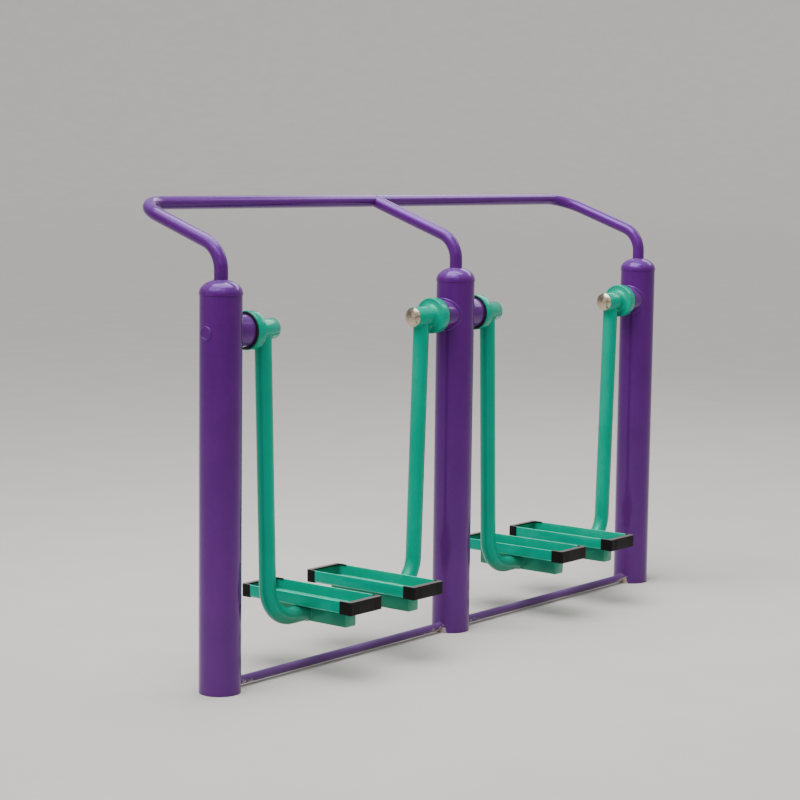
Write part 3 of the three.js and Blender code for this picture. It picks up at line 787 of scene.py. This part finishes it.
def inside_sheet(middle, normal):
    aside = abs(middle.x - TREAD_X)
    under_hook = SOLE < middle.z < HOOK_LOW and aside < INNER
    side_wall = OVER < aside < INNER and SOLE < middle.z < ROOF
    return normal.y < -0.9 and middle.y > LIP - HAIR and (under_hook or side_wall)


def long_side(middle, normal):
    return normal.y < -0.9 and middle.y < SHORT_CHEEK + HAIR and middle.x - TREAD_X > HOOK


def slot_top(middle, normal):
    return normal.z < -0.9 and middle.y > END_WALL and abs(middle.z - HOOK_LOW) < HAIR


def between_slots(middle, normal):
    at_slot = abs(abs(middle.x - TREAD_X) - OVER) < HAIR and abs(normal.x) > 0.9
    return at_slot and middle.y > END_WALL and HOOK_LOW < middle.z < ROOF


pick("FACE", outside_sheet)
extrude(at(0, SHORT_CHEEK - LIP, 0))
pick("FACE", long_side)
extrude(at(0, LONG_CHEEK - SHORT_CHEEK, 0))
pick("FACE", inside_sheet)
extrude(at(0, END_WALL - LIP, 0))
extrude(at(0, SHEET_END + PLAY - END_WALL, 0))
pick("FACE", slot_top)
extrude(at(0, 0, ROOF - HOOK_LOW))
pick("FACE", between_slots)
bpy.ops.mesh.delete(type="FACE")
print("cheeks:", [round((CAP_END - cheek) * 1000) for cheek in (SHORT_CHEEK, LONG_CHEEK)], "mm long")

# %% [markdown]
# The flutes are cut after the cheeks: bisect marks out strips 4.2 mm wide, and every second
# strip is inset and pressed in by half a millimetre, on the cheeks and near both end corners.

# %% Flutes on the end caps
FLUTE = 0.0042
lines = [LONG_CHEEK + 0.004 + FLUTE * k for k in range(9)]
columns = [0.034 + FLUTE * k for k in range(7)]
for y in lines:
    cut(at(0, y, 0), Y_AXIS)
for aside in columns:
    cut(at(TREAD_X + aside, 0, 0), X_AXIS)
    cut(at(TREAD_X - aside, 0, 0), X_AXIS)


def in_flute(middle, normal):
    aside = abs(middle.x - TREAD_X)
    start = LONG_CHEEK if middle.x > TREAD_X else SHORT_CHEEK
    upright = CAP_LOW + 0.002 < middle.z < CAP_HIGH - 0.004
    on_cheek = aside > CAP_HALF - HAIR and start + 0.003 < middle.y < lines[-1]
    on_end = middle.y > CAP_END - HAIR and columns[0] < aside < columns[-1]
    cheek_turn = int((middle.y - lines[0]) / FLUTE) % 2 == 0
    end_turn = int((aside - columns[0]) / FLUTE) % 2 == 0
    return upright and ((on_cheek and cheek_turn) or (on_end and end_turn))


pick("FACE", in_flute)
bpy.ops.mesh.inset(thickness=0.0006, depth=-0.0005, use_boundary=True)
far_cap = close_piece()
print("end cap:", len(far_cap.data.polygons), "faces")

# %% [markdown]
# The near cap of each tread is the far cap turned half round about the middle of the tread. On
# the second and fourth hub the whole tread is turned as well, so there the two ends stand for
# each other's CAD node.

# %% Near and far caps
near_cap = turned_copy(far_cap, "end_cap_near", math.pi, 2 * TREAD_X)
four_hubs(near_cap, "end_block_near", None, "swing_", *PLASTIC)
four_hubs(far_cap, "end_block_far", None, "swing_", *PLASTIC)
for number in (1, 2, 3, 4):
    node_ends = ("near", "far") if number in (1, 3) else ("far", "near")
    for end, node_end in zip(("near", "far"), node_ends):
        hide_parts(f"end_cap_{node_end}_{number}")
print("end caps reach", CAP_END)

# %% [markdown]
# ## Tread rivets
# The cap is held by rivets through the end wall of the tray. One shows in the photograph, on
# the inner face of a far end wall. It is a low turned dome with a pin hole, made by insetting
# its flat crown and pressing it in. Two go through each end wall, and the four are joined.

# %% Tread rivets
RIVET_DROP, RIVET_ASIDE, RIVET_RISE = 0.018, 0.048, 0.0024
WALL = SHEET_END - SHEET
RIM_OF_CROWN = WALL - RIVET_RISE + HAIR


def join(pieces, name):
    select_only(*pieces)
    bpy.ops.object.join()
    joined = bpy.context.object
    joined.name = joined.data.name = name
    return joined


rivet = [(0, 0.0056), (0.0006, 0.0056), (0.0015, 0.0050), (0.0022, 0.0038), (RIVET_RISE, 0.0024)]
rivets = []
for end in (-1, 1):
    for aside in (-RIVET_ASIDE, RIVET_ASIDE):
        spot = at(TREAD_X + aside, end * WALL, TREAD_TOP - RIVET_DROP)
        turn_profile("rivet", spot, Y_AXIS * -end, rivet, sides=24)
        pick("EDGE", lambda middle, way: abs(middle.y) < RIM_OF_CROWN)
        bpy.ops.mesh.edge_face_add()
        bpy.ops.mesh.inset(thickness=0.0005, depth=0)
        extrude(at(0, end * 0.0015, 0))
        rivets.append(close_piece())
print("rivets in each tread:", len(rivets))
four_hubs(join(rivets, "tread_rivets"), "tread_rivets", None, "swing_", *ZINC)

# %% [markdown]
# ## Weld beads
# Welds show as soft ridges under the paint wherever two tubes meet. A torus is laid round the
# joint; where the tube stands on a round surface, each point is moved along the tube until it
# lies on that surface. A Shrinkwrap modifier could do this, but the sum is exact. A Displace
# modifier then gives the slight unevenness of a hand weld, in waves of about 6 mm.

# %% A bead round a joint
unevenness = bpy.data.textures.new("weld_unevenness", "CLOUDS")
unevenness.noise_scale = 0.006


def bead(centre, along, radius, thickness, about=None, surface=0.0):
    select_only()
    bpy.ops.mesh.primitive_torus_add(
        major_segments=72,
        minor_segments=10,
        major_radius=radius,
        minor_radius=thickness,
        location=centre,
        rotation=along.to_track_quat("Z", "Y").to_euler(),
    )
    piece = open_piece("bead")
    if about:
        across = about.cross(along).normalized()
        mesh = bmesh.from_edit_mesh(piece.data)
        for vert in mesh.verts:
            aside = min(abs((vert.co - centre).dot(across)), surface)
            vert.co += along * math.sqrt(surface * surface - aside * aside)
        bmesh.update_edit_mesh(piece.data)
    close_piece(180)
    wave = {"texture": unevenness, "texture_coords": "GLOBAL", "mid_level": 0.5}
    modify(piece, "DISPLACE", strength=thickness * 0.5, **wave)
    return piece


print("weld waves:", round(unevenness.noise_scale * 1000), "mm")

# %% [markdown]
# The frame has beads round the rail in each crown, round the four housings and the ends of the
# tie bars, and where the brace meets the long bar. Each swing has one under its sleeve and one
# at its foot bar. Joined, they ride on their body as one piece.

# %% Weld beads
CROWN_SUNK = 0.0012
frame_beads = []
for x in SIDES.values():
    crown = at(x, 0, POST_HEIGHT + CROWN_RISE - CROWN_SUNK)
    frame_beads.append(bead(crown, Z_AXIS, 0.0200, 0.0016))
for x, way in ((-POST_SPACING, 1), (0, -1), (0, 1), (POST_SPACING, -1)):
    for height, radius, thickness in ((HUB_HEIGHT, 0.0460, 0.0045), (TIE_HEIGHT, 0.0126, 0.0030)):
        seat = at(x, 0, height)
        frame_beads.append(bead(seat, X_AXIS * way, radius, thickness, Z_AXIS, POST_RADIUS))
brace_end = at(0, REACH, RAIL_TOP)
down_brace = (at(0, 0, KNEE) - brace_end).normalized()
frame_beads.append(bead(brace_end, down_brace, 0.0180, 0.0019, X_AXIS, RAIL_RADIUS))
dress(join(frame_beads, "frame_welds"), "frame", *PURPLE)

under_sleeve = at(-POST_SPACING + 0.164, 0, HUB_HEIGHT)
at_foot_bar = at(-POST_SPACING + 0.3452, 0, LEG_HEIGHT)
arm_beads = [
    bead(under_sleeve, -Z_AXIS, 0.0240, 0.0026, X_AXIS, SLEEVE_RADIUS),
    bead(at_foot_bar, X_AXIS, 0.0233, 0.0026),
]
four_hubs(join(arm_beads, "arm_welds"), "arm_welds", None, "swing_", *GREEN)
print("beads:", len(frame_beads), "on the frame,", len(arm_beads), "on each swing")

# %% [markdown]
# ## Pieces kept from the CAD model
# Bearings, nuts and the long axle are inside the hubs, where no one looks. They could be
# modelled again, but their CAD shape is right, so they keep it and only get their steel.

# %% Steel for the inner pieces
kept = ["axle_middle", "axle_nut_left", "axle_nut_middle", "axle_nut_right"]
kept += [f"bearing_{end}_{number}" for end in ("in", "out") for number in (1, 2, 3, 4)]
for name in kept:
    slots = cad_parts[name].data.materials
    slots.clear()
    slots.append(turned_steel)
print("kept from CAD:", len(kept))

# %% [markdown]
# ## Studio floor
# The photograph is cut out on white, so the walker stands in a round studio bowl: a pale matte
# floor that curves up all round, so no horizon shows from any side. A flat plane would end in a
# hard line against the world. The bowl is turned like the small pieces, with its middle filled.

# %% Studio floor
studio_floor, tree, shader, place = new_material("matte_studio_floor")
# Cloudy tone over about 330 mm, as on painted board
cloud = node(tree, "TexNoise", {"Vector": place, "Scale": 3.0, "Detail": 2.0})
tone = node(tree, "ValToRGB", [cloud], [(0.3, linear("#c2bdb8")), (0.7, linear("#c6c1bc"))])
feed(shader, {"Base Color": tone, "Roughness": 0.9})
FLAT, CURVE = 34.0, 30.0
bowl = [(0.0, 0.5), (0.0, FLAT)]
bowl += [(CURVE * (1 - math.cos(a)), FLAT + CURVE * math.sin(a)) for a in steps_of(8, 89, 8)]
turn_profile("studio_bowl", at(0, 0, 0), Z_AXIS, bowl, sides=96)
pick("EDGE", lambda middle, way: middle.length < 0.6)
bpy.ops.mesh.edge_face_add()
floor = close_piece(60, plugged=False)
floor.data.materials.append(studio_floor)
print("floor:", 2 * (FLAT + CURVE), "m across")

# %% [markdown]
# ## Studio light
# Large soft panels stand in for the open sky. A sky picture would do it in one, but the scene
# reads no files, and panels can be placed by eye. One hangs over the walker, one behind it lifts
# the far edges, one in front draws the long highlights down the posts, and two more come from
# the left and from high up. A hazy sun, 50 degrees wide, gives soft shadows with a direction,
# and a weak bluish world keeps the dark sides open.

# %% Lights and world
def hang_light(name, kind, power, place, aim):
    light = bpy.data.lights.new(name, kind)
    light.energy = power
    holder = bpy.data.objects.new(name, light)
    holder.location = place
    holder.rotation_euler = aim.to_track_quat("-Z", "Y").to_euler()
    bpy.context.scene.collection.objects.link(holder)
    return light


for name, place, size, power, target in (
    ("sky_panel", at(-0.3, 0.2, 3.6), (2.4, 2.4), 120, at(0.0, 0.2, 0.0)),
    ("back_panel", at(4.9, 0.2, 4.6), (6.4, 1.6), 110, at(0.0, 0.0, 1.0)),
    ("front_panel", at(-8.0, -6.4, 4.4), (8.0, 2.4), 70, at(0.0, 0.0, 0.7)),
    ("left_panel", at(-6.0, 1.5, 2.5), (5.0, 3.6), 35, at(0.0, 0.0, 0.7)),
    ("high_panel", at(-3.4, -2.2, 5.2), (4.0, 2.5), 90, at(0.0, 0.0, 0.8)),
):
    panel = hang_light(name, "AREA", power, place, target - place)
    panel.shape = "RECTANGLE"
    panel.size, panel.size_y = size
hazy_sun = hang_light("hazy_sun", "SUN", 2.1, at(0, 0, 0), at(0.8, -0.15, -1.25))
hazy_sun.angle = math.radians(50)

world = bpy.data.worlds.new("studio")
bpy.context.scene.world = world
world.use_nodes = True
feed(world.node_tree.nodes["Background"], {"Color": (0.82, 0.86, 0.9, 1), "Strength": 0.5})
print("lights:", len(bpy.data.lights))

# %% [markdown]
# ## Camera
# The camera was fitted to the photograph by least squares: edges of the posts, hub centres,
# rail and treads. It stands 6.3 m away at 1.41 m, and looks along the posts and slightly down.

# %% Camera
camera_data = bpy.data.cameras.new("photo_camera")
camera_data.sensor_width = 36.0
camera_data.lens = 94.05
camera = bpy.data.objects.new("photo_camera", camera_data)
yaw, pitch, roll = (math.radians(d) for d in (-51.312, 6.485, 0.725))
turned = Matrix.Rotation(yaw, 4, "Z") @ Matrix.Rotation(math.pi / 2 - pitch, 4, "X")
aim = turned @ Matrix.Rotation(roll, 4, "Z")
camera.matrix_world = Matrix.Translation((-4.9893, -3.7877, 1.4143)) @ aim
bpy.context.scene.collection.objects.link(camera)
bpy.context.scene.camera = camera
print("camera:", camera_data.lens, "mm on a", camera_data.sensor_width, "mm sensor")
